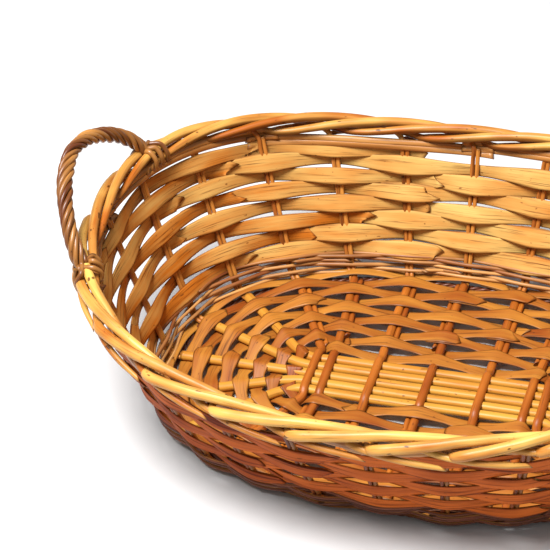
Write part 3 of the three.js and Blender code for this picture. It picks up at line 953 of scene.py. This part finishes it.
def handle(turned, count=420):
    """Six rods round the bow's line. Each is that line with an offset of TWIST_RADIUS that turns once in
    TWIST_LENGTH, joined at both ends to part of a ring round the border. turned is the matrix that carries
    the right handle to its place."""
    fine = np.linspace(0, 0.2, 4001)
    side_of_foot = float(np.interp(FOOT_Y, rim_at(fine)[:, 1], fine))
    foot = wall(np.array([side_of_foot]), np.array([1.0]))[0]
    angle = np.radians(np.linspace(12, 168, 160))
    lean = np.array([math.sin(BOW_LEAN), 0, math.cos(BOW_LEAN)])
    level_line = np.stack([foot[0] + 0 * angle, FOOT_Y * arched(np.cos(angle)), foot[2] + 0 * angle], -1)
    centre = level_line + lean * (BOW_HIGH * arched(np.sin(angle)))[:, None]
    tangent = unit(np.gradient(centre, axis=0))
    normal = np.cross(lean, [0, 1, 0])
    normal = unit(normal - (tangent * normal).sum(-1, keepdims=True) * tangent)
    binormal = np.cross(tangent, normal)
    run = walked(centre)
    strands = []
    for i in range(TWISTED):
        swing = 2 * np.pi * (run / TWIST_LENGTH + i / TWISTED)[:, None]
        radius = TWIST_RADIUS * (1 + 0.10 * np.sin(7 * swing / 6 + i))
        helix = centre + (normal * np.cos(swing) + binormal * np.sin(swing)) * radius
        outside = 1 if i % 2 else -1
        turns = np.radians(OUTSIDE if outside > 0 else INSIDE)
        out, up = ((ROUND_BORDER + 0.3 * MM * (i % 3)) * f(turns)[:, None] for f in (np.cos, np.sin))
        ends = []
        for sign in (1, -1):
            slant = np.linspace(0, FEET_SLANT, len(turns)) * outside
            p, level = border_at(sign * side_of_foot + (i - 2.5) * FEET_APART + slant)
            ends.append(p + level * out + Z * up)
        path = smooth(np.concatenate([ends[0][::-1], helix, ends[1]]), count)
        path += wander(count, 0.45 * MM)
        x = np.linspace(0, 1, count)
        thick = np.interp(x, [0, 0.12, 0.88, 1], [2.8, 3.6, 3.6, 2.8]) * rng.uniform(0.88, 1.14) * MM
        away = unit(path - foot * [1, 0, 1])
        strands.append(rod(path @ turned.T, away @ turned.T, thick, sides=9, cuts=(1 * MM, 2 * MM)))
    p, level = border_at(np.full(len(HANGING), side_of_foot + 0.004))
    hanging = smooth(p + level * HANGING[:, :1] + Z * HANGING[:, 1:], 60)
    tip = np.linspace(3.4, 2.2, 60) * MM
    strands.append(rod(hanging @ turned.T, level[0] @ turned.T, tip, tone=0.0))
    return strands


for name, turned in (("right", np.eye(3)), ("left", np.diag([-1.0, -1.0, 1.0]))):
    piece(f"twisted_bow_{name}", handle(turned), HANDLE, "handle_rod", f"handle_{name}")

# %% [markdown]
# ## Floor and light
# The basket stands on a plain pale floor. One large soft lamp hangs above and a little to the front left,
# so the flared wall shades its own outside, and the white of the room fills the rest.

# %% Floor and light
FLOOR_HALF = 12.0
FLOOR_GREYS = (0.60, 0.60, 0.60, 1), (0.57, 0.57, 0.57, 1)
LAMP_AT, LAMP_SIZE, LAMP_POWER, ROOM_LIGHT = (-0.46, -0.58, 2.0), 0.95, 93, 0.31


def pale_floor():
    """A square round the basket, of a pale matt grey with slow faint clouds."""
    f = Finish("studio_floor", Roughness=0.9)
    spots = f.noise(f.node("ShaderNodeTexCoord").outputs["Object"], scale=3)
    f.feed(f.shader, {"Base Color": f.mix(spots, *FLOOR_GREYS)})
    corners = [(x * FLOOR_HALF, y * FLOOR_HALF, 0) for x, y in ((-1, -1), (1, -1), (1, 1), (-1, 1))]
    mesh = bpy.data.meshes.new("studio_floor")
    mesh.from_pydata(corners, [], [(0, 1, 2, 3)])
    mesh.materials.append(f.material)
    floor = bpy.data.objects.new("studio_floor", mesh)
    bpy.context.scene.collection.objects.link(floor)


def lamp(name, place, size, power):
    """A round area lamp, turned to face the basket."""
    data = bpy.data.lights.new(name, "AREA")
    data.shape, data.size, data.energy = "DISK", size, power
    made = bpy.data.objects.new(name, data)
    bpy.context.scene.collection.objects.link(made)
    made.location = place
    made.rotation_mode = "QUATERNION"
    made.rotation_quaternion = (Vector((0, 0, 0.05)) - Vector(place)).to_track_quat("-Z", "Y")


pale_floor()
lamp("soft_overhead", LAMP_AT, LAMP_SIZE, LAMP_POWER)
room = bpy.data.worlds.new("white_room")
room.use_nodes = True
background = room.node_tree.nodes["Background"]
background.inputs["Color"].default_value = (1, 1, 1, 1)
background.inputs["Strength"].default_value = ROOM_LIGHT
bpy.context.scene.world = room
bpy.context.scene.view_settings.view_transform = "Standard"
print("lamp at", LAMP_AT, "m, floor", 2 * FLOOR_HALF, "m across")
